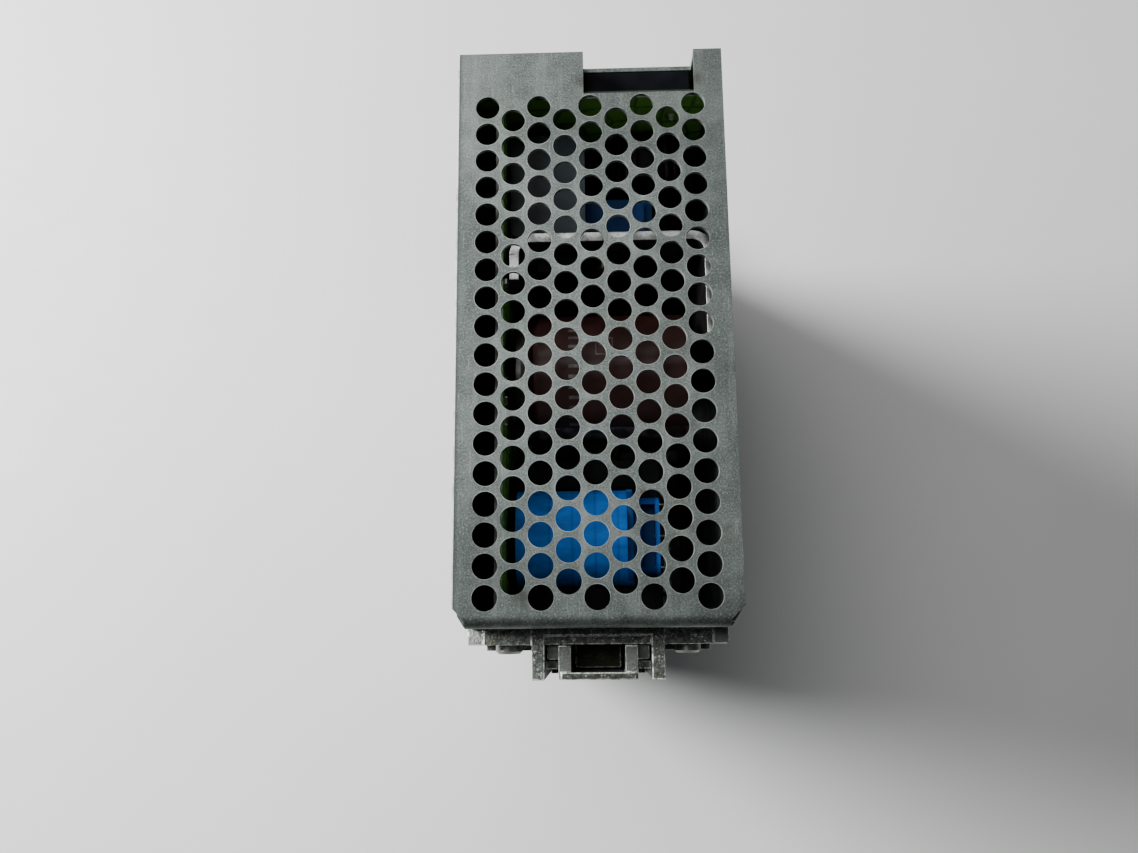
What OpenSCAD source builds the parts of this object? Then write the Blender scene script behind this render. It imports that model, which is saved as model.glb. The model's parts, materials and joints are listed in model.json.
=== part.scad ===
// DIN rail power supply in a perforated sheet metal housing, with a cast rail adapter.
// The unit stands on its output end, so +Z points to the mains input end.
// +Y points to the front, +X to the side cover, and the rail adapter is at the rear (-Y).

/* [Housing] */
// Width over the left wall and the side cover
body_w = 56; // [55:0.5:60]
// Depth from the rear wall to the front edge of the end plates
body_d = 120.4; // [120.4:0.1:124]
// Height over the two perforated end plates
body_h = 130; // [129:0.5:134]
// Thickness of the sheet metal
sheet = 1.0; // [0.8:0.1:1.1]
// Outside radius of the bends
bend_r = 2.4; // [1.2:0.1:2.5]

/* [Perforation] */
// Diameter of a round hole
hole_d = 5.0; // [4.5:0.1:5.2]
// Spacing of the staggered columns, across the width
column_pitch = 5.4; // [5.3:0.05:5.5]
// Spacing of the holes along a column
row_pitch = 6.0; // [5.8:0.05:6.0]
// Number of columns, every second one a half pitch along
columns = 9; // [7, 9]
// Holes in a full column
rows = 18; // [16:1:18]

/* [Rail adapter] */
// How far the adapter stands out behind the rear wall
adapter_d = 10.1; // [10:0.1:11]
// Height of a TH35 rail over its two lips
rail_h = 35; // [35]
// Thickness of the rail's lips
rail_t = 1.0; // [1.0]
// Height of the rail's centre line above the output end
rail_z = 65; // [64:0.5:66]
// How far the latch pulls back to let go of the rail
latch_travel = 5; // [4:0.5:5.5]

/* [Connectors] */
// Spacing of the poles
pole_pitch = 7.62; // [7.62]
// Poles of the mains input header
input_poles = 3; // [3]
// Poles of the output header and its plug
output_poles = 4; // [4]
// Centre of the input header across the width
input_x = 10.35; // [10:0.05:10.6]
// Centre of the output header across the width
output_x = 6.6; // [6:0.1:7]
// How far a clamp cage opens
clamp_travel = 2.5; // [2:0.1:2.5]

/* [Electronics] */
// Thickness of the circuit boards
board_t = 1.6; // [1.4:0.1:1.6]
// Diameter of the mains reservoir capacitor
bulk_d = 28; // [28:1:30]
// Thickness of the aluminium heat sink bracket
bracket_t = 2.0; // [1.5:0.1:2.2]

/* [Hidden] */
$fn = 48;
eps = 0.01;

// The outline: the plug is the foremost piece and the adapter the rearmost.
plug_gap = 0.2;
plug_out = 13.8;
total_d = body_d + adapter_d + plug_gap + plug_out;
rear = -total_d / 2 + adapter_d;
left = -body_w / 2;
right = body_w / 2;
top = body_h;

// Depths below are measured from the rear wall's outside face, heights from the output end.
grid_depth = 56.8;
grid_w = (columns - 1) * column_pitch;
notch_depth = 9.75;
notch_drop = 6.0;
notch_play = 0.55;
facet_w = 2.6;
facet_d = 4.1;
facet_skew = facet_w / facet_d;
relief_d = 1.5;
seam = 0.05;

// Rail adapter
play = 0.3;
plate_t = 3.3;
seat = -4.8;
tail = -adapter_d;
adapter_low = 12;
adapter_high = top - 10;
rail_low = rail_z - rail_h / 2;
rail_high = rail_z + rail_h / 2;
wing_x = 26;
pad_x = 23.6;
raised_x = 22.9;
raise = 0.3;
wall_in = 10.6;
wall_out = 13.15;
lip_back = seat - rail_t - 0.3;
screw_x = 18.2;
screw_zs = [18, 114];
lug_low = 106;
lug_high = 109;
rim = 0.8;
rim_back = -1.5;
flange_back = seat - 1.5;
lip_t = 1.6;
lip_front = flange_back - play;
bar_t = 1.45;
slider_x = 7.85;
slot_x = 5.4;

// Latch spring
spring_short = 12;
shoulder_z = lug_low - spring_short - latch_travel;
spring_depth = -6.05;
spring_turns = 7;
spring_steps = 16;
spring_sides = 6;
spring_r = 1.85;
spring_wire = 0.3;
spring_low = shoulder_z + 0.35;
spring_high = lug_low - 0.35;

// Screws and their holes
screw_d = 2.9;
screw_hole = 3.2;
pan_d = 5.5;
pan_h = 1.9;
flush_d = 5.6;

// Boards
board_x = left + 7.7;
face_x = board_x + board_t;
front_board_y = body_d - 8.65;
front_face_y = front_board_y + board_t;
panel_back = body_d - 1.3;
panel_front = body_d - 0.3;
standoff_at = [[10, 10], [10, 82], [104, 10], [104, 92]];
side_screw_zs = [30, 100];
side_screw_y = body_d - 4.1;
rear_screw_x = right - 4.2;
rear_screw_zs = [6, 124];

// Connectors: the two headers are mirror images about the middle of the height.
header_h = 11.9;
header_wall = 1.2;
header_top = top - notch_drop - 0.1;
input_z = header_top - header_h / 2;
output_z = top - input_z;
header_front = panel_back - 0.1;
pin_t = 1.0;
plug_back = body_d + plug_gap;
plug_front = plug_back + plug_out;
plug_low = 2.2;
plug_high = 17.2;
cage_z = 7.2;
trimmer_at = [-16, 30];
leds_at = [[-16, 44], [-16, 52]];

// Mains side, each place as [depth, height] or [x, height]
bulk_at = [53.0, top - 19.6];
bulk_low = face_x + 2.0;
bulk_high = bulk_low + 37;
filter_choke_at = [13.5, 104];
filter_choke_y = 104.5;
varistor_at = [-9.5, 92];
fuse_x = face_x + 6;
fuse_y = 99;
web_front = 81.2;
web_back = web_front - bracket_t;
transistor_x = 3.6;
transistor_zs = [115, 99, 83];
lead_pitch = 2.54;

// Transformer
trafo_y = 18.65;
trafo_z = 104;
trafo_half = 16.6;
leg_t = 6;
core_z = 5.5;
core_x = [face_x + 0.8, 13.9];

// Output side, as [depth, height]
choke_at = [27, 40];
output_capacitor_ys = [60, 76, 92];
output_capacitor_z = 20;

// ---- Shapes placed by their limits, [low, high], along each direction ----

module block(x, y, z) {
  translate([x[0], rear + y[0], z[0]]) cube([x[1] - x[0], y[1] - y[0], z[1] - z[0]]);
}

module rod_x(d, x, y, z) {
  translate([x[0], rear + y, z]) rotate([0, 90, 0]) cylinder(d = d, h = x[1] - x[0]);
}

module rod_y(d, x, y, z) {
  translate([x, rear + y[0], z]) rotate([-90, 0, 0]) cylinder(d = d, h = y[1] - y[0]);
}

module rod_z(d, x, y, z) {
  translate([x, rear + y, z[0]]) cylinder(d = d, h = z[1] - z[0]);
}

// A cross recess pan head screw: its head's underside at the origin and its shank along -Z.
module pan_screw(length) {
  difference() {
    union() {
      cylinder(d = pan_d, h = pan_h - 0.5);
      translate([0, 0, pan_h - 0.5]) cylinder(d1 = pan_d, d2 = pan_d - 1.2, h = 0.5);
      translate([0, 0, -length]) cylinder(d = screw_d, h = length + eps);
    }
    for (turn = [0, 90]) rotate([0, 0, turn])
      translate([-pan_d * 0.32, -0.4, pan_h - 1.0]) cube([pan_d * 0.64, 0.8, 1.1]);
  }
}

// A countersunk screw with its flat head at z = 0 and its shank along -Z.
module flush_screw(length) {
  difference() {
    union() {
      translate([0, 0, -sheet]) cylinder(d1 = 3, d2 = flush_d, h = sheet);
      translate([0, 0, -length]) cylinder(d = 3, h = length - sheet + eps);
    }
    for (turn = [0, 90]) rotate([0, 0, turn])
      translate([-flush_d * 0.3, -0.35, -0.6]) cube([flush_d * 0.6, 0.7, 0.7]);
  }
}

// A rectangle with rounded corners where round says so, counted anticlockwise from the low left one.
module soft_square(w, h, r, round) {
  at = [[r, r], [w - r, r], [w - r, h - r], [r, h - r]];
  translate([r, 0]) square([w - 2 * r, h]);
  translate([0, r]) square([w, h - 2 * r]);
  for (i = [0:3]) translate(at[i])
    if (round[i]) circle(r = r);
    else square(2 * r, center = true);
}

// A ring about the X axis with a rectangular section.
module ring_x(outer, inner, x, y, z) {
  difference() {
    rod_x(outer, x, y, z);
    rod_x(inner, [x[0] - 1, x[1] + 1], y, z);
  }
}

// ---- Housing ----

module cover_screw_holes() {
  for (z = side_screw_zs) for (side = [-1, 1]) {
    x_out = side * body_w / 2;
    rod_x(screw_hole, [min(x_out, x_out - side * 3), max(x_out, x_out - side * 3)], side_screw_y, z);
    translate([x_out, rear + side_screw_y, z]) rotate([0, side * 90, 0])
      translate([0, 0, -sheet]) cylinder(d1 = screw_hole, d2 = flush_d + 0.2, h = sheet + eps);
  }
  for (z = rear_screw_zs) {
    rod_y(screw_hole, rear_screw_x, [-1, 3], z);
    translate([rear_screw_x, rear, z]) rotate([90, 0, 0])
      translate([0, 0, -sheet]) cylinder(d1 = screw_hole, d2 = flush_d + 0.2, h = sheet + eps);
  }
}

module perforation() {
  for (i = [0:columns - 1]) {
    short = i % 2;
    for (j = [0:rows - 1 - short])
      rod_z(hole_d, -grid_w / 2 + i * column_pitch,
            grid_depth + (j - (rows - 1 - short) / 2) * row_pitch, [-1, top + 1]);
  }
}

module connector_notches() {
  input_half = input_poles * pole_pitch / 2 + notch_play / 2;
  output_half = output_poles * pole_pitch / 2 + notch_play / 2;
  depth = [body_d - notch_depth, body_d + 1];
  block([input_x - input_half, input_x + input_half], depth, [top - notch_drop, top + 1]);
  block([output_x - output_half, output_x + output_half], depth, [-1, notch_drop]);
}

// The sheet metal round the left, the rear and both ends.
// A narrow slanting face joins the left wall to the rear wall.
module tray() {
  inner = left + 1.18 * sheet;
  difference() {
    intersection() {
      translate([left, rear, 0]) rotate([90, 0, 90])
        linear_extrude(height = body_w) soft_square(body_d, body_h, bend_r, [true, false, false, true]);
      translate([0, rear, 0]) linear_extrude(height = body_h)
        polygon([[left + facet_w, 0], [right - facet_w, 0], [right, facet_d],
                 [right, body_d], [left, body_d], [left, facet_d]]);
    }
    translate([0, rear, sheet]) linear_extrude(height = body_h - 2 * sheet)
      polygon([[inner + (facet_d - sheet) * facet_skew, sheet], [right + 1, sheet], [right + 1, body_d + 1],
               [left + sheet, body_d + 1], [left + sheet, facet_d + 0.28 * sheet]]);
  }
}

// What an end plate takes of the tray: from the end of the bend outwards, and over the left wall
// only its own thickness.
module end_zone(bend, skin) {
  x = left + sheet + seam;
  block([x, right + 1], [-1, body_d + 1], bend);
  block([left - 1, x + eps], [-1, body_d + 1], skin);
}

module corner_relief() {
  for (side = [-1, 1]) for (z = [-1, top - sheet])
    translate([side * body_w / 2, rear, z]) linear_extrude(height = sheet + 1)
      polygon([[side, -1], [-side * facet_w, -1], [-side * facet_w, relief_d],
               [0, facet_d], [side, facet_d]]);
}

// Left wall and rear wall.
module main_shell() {
  color("darkgray") difference() {
    tray();
    end_zone([-1, bend_r], [-1, sheet + seam]);
    end_zone([top - bend_r, top + 1], [top - sheet - seam, top + 1]);
    for (z = [[-1, bend_r], [top - bend_r, top + 1]]) block([left - 1, right], [-1, facet_d + 0.4], z);
    cover_screw_holes();
    for (x = [-screw_x, screw_x]) for (z = screw_zs) rod_y(3.4, x, [-1, 2], z);
  }
}

module end_plate(bend, skin) {
  color("darkgray") difference() {
    intersection() {
      tray();
      end_zone(bend, skin);
    }
    perforation();
    connector_notches();
    corner_relief();
  }
}

module input_end_plate() { end_plate([top - bend_r + seam, top + 1], [top - sheet, top + 1]); }

module output_end_plate() { end_plate([-1, bend_r - seam], [-1, sheet]); }

// Right wall, turned in at the rear to a narrow tab along the inside of the rear wall.
module side_cover() {
  tab = sheet + 0.1;
  inner = right - 1.18 * sheet;
  color("darkgray") difference() {
    translate([0, rear, sheet + 0.1]) linear_extrude(height = top - 2 * sheet - 0.2)
      polygon([[right, body_d], [right, facet_d], [right - (facet_d - tab) * facet_skew, tab],
               [right - 6, tab], [right - 6, tab + sheet],
               [inner - (facet_d - tab - sheet) * facet_skew, tab + sheet],
               [right - sheet, facet_d + 0.28 * sheet], [right - sheet, body_d]]);
    cover_screw_holes();
  }
}

module front_panel() {
  edge = left + sheet + 0.1;
  color("dimgray") difference() {
    union() {
      block([edge, -edge], [panel_back, panel_front], [sheet + 0.1, top - sheet - 0.1]);
      for (side = [-1, 1])
        block([min(side * edge, side * (edge + sheet)), max(side * edge, side * (edge + sheet))],
              [front_board_y, panel_back + eps], [sheet + 0.1, top - sheet - 0.1]);
    }
    connector_notches();
    header_window(input_x, input_z, input_poles);
    header_window(output_x, output_z, output_poles);
    rod_y(5, trimmer_at[0], [panel_back - 1, panel_front + 1], trimmer_at[1]);
    for (at = leds_at) rod_y(3.4, at[0], [panel_back - 1, panel_front + 1], at[1]);
    for (z = side_screw_zs) rod_x(screw_hole, [left, right], side_screw_y, z);
  }
}

module header_window(x, z, poles) {
  half = poles * pole_pitch / 2 - header_wall;
  high = header_h / 2 - header_wall;
  block([x - half, x + half], [panel_back - 1, panel_front + 1], [z - high, z + high]);
}

// Plain foil on the front panel.
module front_label() {
  color("lightsteelblue") difference() {
    translate([-24, rear + panel_front + 0.15, 24]) rotate([90, 0, 0])
      linear_extrude(height = 0.15) soft_square(46, 82, 2, [true, true, true, true]);
    rod_y(5, trimmer_at[0], [panel_front - 1, panel_front + 1], trimmer_at[1]);
    for (at = leds_at) rod_y(3.4, at[0], [panel_front - 1, panel_front + 1], at[1]);
  }
}

module cover_screws() {
  color("silver") {
    for (z = side_screw_zs) for (side = [-1, 1])
      translate([side * body_w / 2, rear + side_screw_y, z]) rotate([0, side * 90, 0]) flush_screw(5);
    for (z = rear_screw_zs)
      translate([rear_screw_x, rear, z]) rotate([90, 0, 0]) flush_screw(3.5);
  }
}

// ---- Rail adapter ----

module adapter_body() {
  color("gray") difference() {
    union() {
      block([-wing_x, wing_x], [-plate_t, 0], [adapter_low, adapter_high]);
      block([-raised_x, raised_x], [-plate_t, -0.3], [adapter_high - eps, adapter_high + raise]);
      block([-wall_out, wall_out], [rim_back, -0.3], [adapter_high - eps, adapter_high + rim]);
      block([-pad_x, pad_x], [seat, -plate_t + eps], [adapter_low + 14, adapter_high - 12]);
      for (side = [-1, 1]) {
        low = min(side * wall_in, side * wall_out);
        high = max(side * wall_in, side * wall_out);
        lip_low = min(side * (slider_x + play), side * wall_out);
        lip_high = max(side * (slider_x + play), side * wall_out);
        block([low, high], [tail, -plate_t + eps], [rail_high + 2, adapter_high + rim]);
        block([low, high], [-plate_t, rim_back + eps], [adapter_high - eps, adapter_high + rim]);
        block([low, high], [tail + 2, -plate_t + eps], [adapter_low + 4, rail_low - 8]);
        block([lip_low, lip_high], [lip_front - lip_t, lip_front], [shoulder_z - 1, adapter_high - 4]);
      }
      block([-4.8, 4.8], [seat - 3.5, -plate_t + eps], [lug_low, lug_high]);
      fixed_hook();
    }
    block([-wall_in, wall_in], [seat - 0.1, -plate_t], [rail_high + 0.2, adapter_high - 11.9]);
    block([-4.9, 4.9], [seat - 4, -plate_t - 1], [lug_high, adapter_high + 1]);
    block([-wall_in, wall_in], [-plate_t - 1, rim_back], [adapter_high - raise, adapter_high + 1]);
    for (x = [-screw_x, screw_x]) for (z = screw_zs) rod_y(3.4, x, [-plate_t - 1, 1], z);
    for (side = [-1, 1]) for (z = [30, 36, 90, 96])
      block([side * 18 - 3, side * 18 + 3], [seat - 1, -plate_t], [z, z + 4]);
  }
  color("gray") block([-4.8, 4.8], [seat - 3.5, -plate_t], [lug_low, lug_high]);
}

// Two claws that hold the rail's lip on the output side.
module fixed_hook() {
  for (side = [-1, 1]) {
    claw = [min(side * 4, side * wall_out), max(side * 4, side * wall_out)];
    block(claw, [tail, -plate_t + eps], [rail_low - 10, rail_low - 0.1]);
    block(claw, [tail, lip_back], [rail_low - 0.2, rail_low + 1.8]);
  }
}

module latch_slider() {
  low = rail_high + 0.4;
  back = tail + 0.05;
  wide = wall_in - play;
  color("gray") difference() {
    union() {
      block([-slider_x, slider_x], [back, -plate_t - 0.15], [low, adapter_high + raise]);
      block([-slider_x + 0.5, slider_x - 0.5], [back, tail + bar_t], [low, adapter_high + rim + 0.2]);
      block([-wide, wide], [flange_back, -plate_t - 0.15], [low, adapter_high - 2.5]);
      block([-slider_x, slider_x], [back, lip_back], [rail_high - 1.7, low + 0.1]);
      block([-wide, wide], [back, lip_front - lip_t - play], [low, shoulder_z + 10]);
    }
    block([-slot_x, slot_x], [tail + bar_t, 0], [shoulder_z, adapter_high + 2]);
    // The lead-in that rides over the rail's lip
    translate([-slider_x - 1, rear + tail, rail_high - 1.7]) rotate([-40, 0, 0])
      translate([0, -4, -3]) cube([2 * slider_x + 2, 6, 3]);
  }
}

// A compression spring as a swept coil: rings of points about a helix.
function helix_point(i) =
  let (a = 360 * i / spring_steps, f = i / (spring_turns * spring_steps))
  [spring_r * cos(a), spring_r * sin(a), spring_low + (spring_high - spring_low) * f];

function ring_point(i, k) =
  let (a = 360 * i / spring_steps, b = 360 * k / spring_sides, c = helix_point(i))
  [c[0] + spring_wire * cos(b) * cos(a), c[1] + spring_wire * cos(b) * sin(a), c[2] + spring_wire * sin(b)];

module latch_spring() {
  rings = spring_turns * spring_steps;
  points = [for (i = [0:rings]) for (k = [0:spring_sides - 1]) ring_point(i, k)];
  sides = [
    for (i = [0:rings - 1]) for (k = [0:spring_sides - 1])
      let (n = (k + 1) % spring_sides, a = i * spring_sides, b = a + spring_sides)
      each [[a + k, a + n, b + n], [a + k, b + n, b + k]]
  ];
  first = [[for (k = [0:spring_sides - 1]) spring_sides - 1 - k]];
  last = [[for (k = [0:spring_sides - 1]) rings * spring_sides + k]];
  color("silver") translate([0, rear + spring_depth, 0])
    polyhedron(points = points, faces = concat(sides, first, last));
}

module adapter_screws() {
  color("silver") for (x = [-screw_x, screw_x]) for (z = screw_zs)
    translate([x, rear - plate_t, z]) rotate([90, 0, 0]) pan_screw(7);
}

module weld_nuts() {
  color("silver") for (x = [-screw_x, screw_x]) for (z = screw_zs)
    translate([x, rear + sheet, z]) rotate([-90, 0, 0]) difference() {
      cylinder(d = 6.2, h = 2.2, $fn = 6);
      translate([0, 0, -1]) cylinder(d = 3.0, h = 4);
    }
}

// ---- Boards ----

module insulation_sheet() {
  color("#222222") difference() {
    block([left + sheet + 0.4, left + sheet + 0.7], [facet_d + 0.8, 110], [3, top - 4]);
    for (at = standoff_at) rod_x(8, [left, left + 4], at[0], at[1]);
  }
}

module board_standoffs() {
  color("silver") for (at = standoff_at) difference() {
    translate([left + sheet, rear + at[0], at[1]]) rotate([0, 90, 0])
      cylinder(d = 6, h = board_x - left - sheet, $fn = 6);
    rod_x(3, [board_x - 6, board_x + 1], at[0], at[1]);
  }
}

module main_board() {
  color("darkgreen") difference() {
    block([board_x, face_x], [4.5, 110], [4, top - 5]);
    for (at = standoff_at) rod_x(screw_hole, [board_x - 1, face_x + 1], at[0], at[1]);
  }
}

module board_screws() {
  color("silver") for (at = standoff_at)
    translate([face_x, rear + at[0], at[1]]) rotate([0, 90, 0]) pan_screw(6);
}

module front_board() {
  color("forestgreen") difference() {
    block([left + 2.6, right - 2.6], [front_board_y, front_face_y], [5.5, top - 4]);
    pin_holes(input_x, input_z, input_poles);
    pin_holes(output_x, output_z, output_poles);
    for (at = leds_at) rod_y(1.2, at[0], [front_board_y - 1, front_face_y + 1], at[1]);
  }
}

module pin_holes(x, z, poles) {
  for (i = [0:poles - 1])
    block([pole_x(x, i, poles) - 0.7, pole_x(x, i, poles) + 0.7],
          [front_board_y - 1, front_face_y + 1], [z - 0.7, z + 0.7]);
}

function pole_x(x, i, poles) = x + (i - (poles - 1) / 2) * pole_pitch;

// Angled pin strip that joins the two boards.
module board_link() {
  color("#303030") block([face_x, face_x + 5], [104, 109.5], [40, 80]);
  color("gold") for (i = [0:14])
    block([face_x + 2, face_x + 2.6], [109.5 - eps, front_board_y],
          [42 + i * lead_pitch, 42.6 + i * lead_pitch]);
}

// ---- Headers and the output plug ----

module header_shroud(x, z, poles) {
  half = poles * pole_pitch / 2;
  high = header_h / 2;
  color("#181818") difference() {
    block([x - half, x + half], [front_face_y, header_front], [z - high, z + high]);
    block([x - half + header_wall, x + half - header_wall], [front_face_y + 1, header_front + 1],
          [z - high + header_wall, z + high - header_wall]);
    for (i = [0:poles - 1])
      block([pole_x(x, i, poles) - 0.6, pole_x(x, i, poles) + 0.6],
            [front_face_y - 1, header_front], [z - 0.6, z + 0.6]);
  }
}

module header_pins(x, z, poles) {
  color("gold") for (i = [0:poles - 1])
    block([pole_x(x, i, poles) - pin_t / 2, pole_x(x, i, poles) + pin_t / 2],
          [front_board_y - 1.2, header_front - 0.8], [z - pin_t / 2, z + pin_t / 2]);
}

module input_header() { header_shroud(input_x, input_z, input_poles); }

module input_pins() { header_pins(input_x, input_z, input_poles); }

module output_header() { header_shroud(output_x, output_z, output_poles); }

module output_pins() { header_pins(output_x, output_z, output_poles); }

// Plug: a nose in the header, and a body in front of the panel with one clamp chamber per pole.
module output_plug() {
  half = output_poles * pole_pitch / 2;
  nose = half - header_wall - 0.3;
  high = header_h / 2 - header_wall - 0.3;
  color("#202020") difference() {
    union() {
      block([output_x - half, output_x + half], [plug_back, plug_front], [plug_low, plug_high]);
      block([output_x - nose, output_x + nose], [front_face_y + 1.5, plug_back + eps],
            [output_z - high, output_z + high]);
    }
    for (i = [0:output_poles - 1]) clamp_space(pole_x(output_x, i, output_poles));
    for (i = [0:output_poles])
      translate([pole_x(output_x, i - 0.5, output_poles), rear + plug_front, plug_high])
        cube([0.6, 1.2, 16], center = true);
  }
}

module clamp_space(x) {
  room = [plug_back + 3.7 - clamp_travel, plug_back + 10.4];
  block([x - 3.1, x + 3.1], room, [cage_z - 2.6, cage_z + 2.6]);
  block([x - 2.6, x + 2.6], [plug_back + 3.2, plug_back + 10.0], [plug_low - 1, cage_z]);
  block([x - 1.45, x + 1.45], [front_face_y, plug_back + 6.35], [output_z - 1.45, output_z + 1.45]);
  block([x - 1.75, x + 1.75], [plug_back + 5.05, plug_back + 6.35], [cage_z, output_z + 1.45]);
  rod_y(3.3, x, [plug_back + 10, plug_back + 12], cage_z);
  rod_y(4.8, x, [plug_back + 11.2, plug_front + 1], cage_z);
}

// One female contact per pole: a tube round the pin and the bar that the wire is pressed against.
module plug_contacts() {
  color("gold") for (i = [0:output_poles - 1]) {
    x = pole_x(output_x, i, output_poles);
    difference() {
      block([x - 1.3, x + 1.3], [front_face_y + 2, plug_back + 5.3], [output_z - 1.3, output_z + 1.3]);
      block([x - 0.9, x + 0.9], [front_face_y + 1, plug_back + 4.6], [output_z - 0.9, output_z + 0.9]);
    }
    block([x - 1.3, x + 1.3], [plug_back + 5.2, plug_back + 6.2], [cage_z - 2.4, output_z + 1.3]);
  }
}

module clamp_screw(i) {
  x = pole_x(output_x, i, output_poles);
  color("silver") translate([x, rear + plug_back + 11.3, cage_z]) rotate([-90, 0, 0]) difference() {
    union() {
      cylinder(d = 4.2, h = 1.7);
      translate([0, 0, -4.8]) cylinder(d = 2.9, h = 4.9);
    }
    translate([-3, -0.4, 0.9]) cube([6, 0.8, 1]);
  }
}

module clamp_cage(i) {
  x = pole_x(output_x, i, output_poles);
  color("goldenrod") difference() {
    block([x - 2.8, x + 2.8], [plug_back + 3.9, plug_back + 10.1], [cage_z - 2.3, cage_z + 2.3]);
    block([x - 1.9, x + 1.9], [plug_back + 4.9, plug_back + 9.0], [cage_z - 3, cage_z + 3]);
    rod_y(3.05, x, [plug_back + 8, plug_back + 11], cage_z);
  }
}

module clamp_screw_1() { clamp_screw(0); }

module clamp_screw_2() { clamp_screw(1); }

module clamp_screw_3() { clamp_screw(2); }

module clamp_screw_4() { clamp_screw(3); }

module clamp_cage_1() { clamp_cage(0); }

module clamp_cage_2() { clamp_cage(1); }

module clamp_cage_3() { clamp_cage(2); }

module clamp_cage_4() { clamp_cage(3); }

// ---- Front controls ----

module trimmer_case() {
  x = trimmer_at[0];
  z = trimmer_at[1];
  color("royalblue") difference() {
    block([x - 3.4, x + 3.4], [front_face_y, panel_back - 0.9], [z - 3.4, z + 3.4]);
    rod_y(4.2, x, [front_face_y + 2, panel_back + 1], z);
  }
}

module trimmer_rotor() {
  color("white") difference() {
    rod_y(3.8, trimmer_at[0], [front_face_y + 2.2, panel_back + 0.5], trimmer_at[1]);
    block([trimmer_at[0] - 1.5, trimmer_at[0] + 1.5], [panel_back - 0.3, panel_back + 1],
          [trimmer_at[1] - 0.35, trimmer_at[1] + 0.35]);
  }
}

module status_leds() {
  color("limegreen") for (at = leds_at) {
    rod_y(3, at[0], [front_face_y + 1, panel_front - 0.6], at[1]);
    translate([at[0], rear + panel_front - 0.6, at[1]]) intersection() {
      sphere(d = 3);
      translate([-2, 0, -2]) cube([4, 2, 4]);
    }
    rod_y(3.8, at[0], [front_face_y, front_face_y + 1 + eps], at[1]);
  }
}

// ---- Mains side ----

// Snap-in reservoir capacitor lying across the housing, with a rolled groove near its open end.
module bulk_capacitor() {
  r = bulk_d / 2;
  low = bulk_low;
  high = bulk_high;
  color("#3a1512") translate([0, rear + bulk_at[0], bulk_at[1]]) rotate([0, 90, 0]) rotate_extrude()
    polygon([[0, low], [r - 1.5, low], [r - 0.4, low + 0.6], [r, low + 1.6], [r, low + 3],
             [r - 1.1, low + 4], [r, low + 5], [r, high - 1.2], [r - 0.4, high - 0.4],
             [r - 1.4, high - 0.1], [r - 1.4, high - 0.6], [0, high - 0.6]]);
}

module bulk_capacitor_disc() {
  face = bulk_high - 0.2;
  color("silver") difference() {
    rod_x(bulk_d - 3.4, [bulk_high - 0.6, face], bulk_at[0], bulk_at[1]);
    for (turn = [0, 60, 120])
      translate([face, rear + bulk_at[0], bulk_at[1]]) rotate([turn, 0, 0])
        cube([0.3, 0.5, 18], center = true);
  }
}

module suppression_capacitor() {
  color("slategray") difference() {
    translate([face_x + 1, rear + 83.8, top - 19.5]) linear_extrude(height = 7.5)
      soft_square(16.3, 23.6, 1, [true, true, true, true]);
    block([face_x + 0.9, face_x + 1.6], [86, 104], [top - 18, top - 13.5]);
  }
}

// A case with a slightly narrower lid.
module inrush_relay() {
  case_w = 32.2;
  lid_w = 30.3;
  color("midnightblue") translate([face_x + 0.3, rear + 84.5, top - 36]) {
    linear_extrude(height = 14.5) soft_square(case_w, 11, 0.8, [true, true, true, true]);
    linear_extrude(height = 16) soft_square(lid_w, 11, 0.8, [true, true, true, true]);
  }
}

module filter_choke_core() {
  color("#2b2b2b") difference() {
    rod_y(19, filter_choke_at[0], [filter_choke_y - 5, filter_choke_y + 5], filter_choke_at[1]);
    rod_y(9.6, filter_choke_at[0], [filter_choke_y - 6, filter_choke_y + 6], filter_choke_at[1]);
  }
}

// Two windings of copper wire on opposite halves of the ring.
module filter_choke_winding() {
  color("#b5651d") for (half = [0, 180]) for (i = [-3:3])
    translate([filter_choke_at[0], rear + filter_choke_y, filter_choke_at[1]]) rotate([0, half + i * 20, 0])
      translate([7.15, 0, 0]) difference() {
        cube([6.6, 11.8, 1.1], center = true);
        cube([4.8, 10.1, 2], center = true);
      }
}

module mains_fuse() {
  color("lightyellow") rod_z(5, fuse_x, fuse_y, [70, 84]);
  color("silver") for (z = [[67, 71], [83, 87]]) rod_z(5.3, fuse_x, fuse_y, z);
}

module fuse_clips() {
  color("silver") for (z = [67.5, 84]) difference() {
    block([face_x, fuse_x + 2], [fuse_y - 3.5, fuse_y + 3.5], [z, z + 2.5]);
    rod_z(5.5, fuse_x, fuse_y, [60, 90]);
    block([fuse_x, fuse_x + 3], [fuse_y - 2.2, fuse_y + 2.2], [z - 1, z + 4]);
  }
}

module surge_varistor() {
  x = varistor_at[0];
  z = varistor_at[1];
  color("#1f4fa0") rod_y(13, x, [104.5, 109], z);
  color("silver") for (lead = [z - 2.5, z + 2.5]) rod_y(0.9, x, [108.9, front_board_y], lead);
}

// Aluminium bracket bent to a U round the mains side, its long leg against the side cover.
module heat_sink_bracket() {
  lo = left + 10.7;
  hi = right - 2.7;
  low = 62;
  long_leg = 58.8;
  short_leg = 71;
  inside = web_back - long_leg + 10;
  color("lightgray") difference() {
    translate([lo, rear + long_leg, low]) linear_extrude(height = top - 4 - low)
      soft_square(hi - lo, web_front - long_leg, 4.5, [false, false, true, true]);
    translate([lo + bracket_t, rear + web_back - inside, low - 1]) linear_extrude(height = top)
      soft_square(hi - lo - 2 * bracket_t, inside, 2.5, [false, false, true, true]);
    block([lo - 1, lo + bracket_t + 1], [long_leg - 1, short_leg], [low - 1, top]);
    for (z = transistor_zs) {
      rod_y(3, transistor_x, [web_back - 1, web_front + 1], z);
      // A window in the short leg lets the leads through
      block([lo - 1, lo + bracket_t + 1], [web_back - 4, web_back - 1.4], [z - 4, z + 4]);
    }
  }
}

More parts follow.
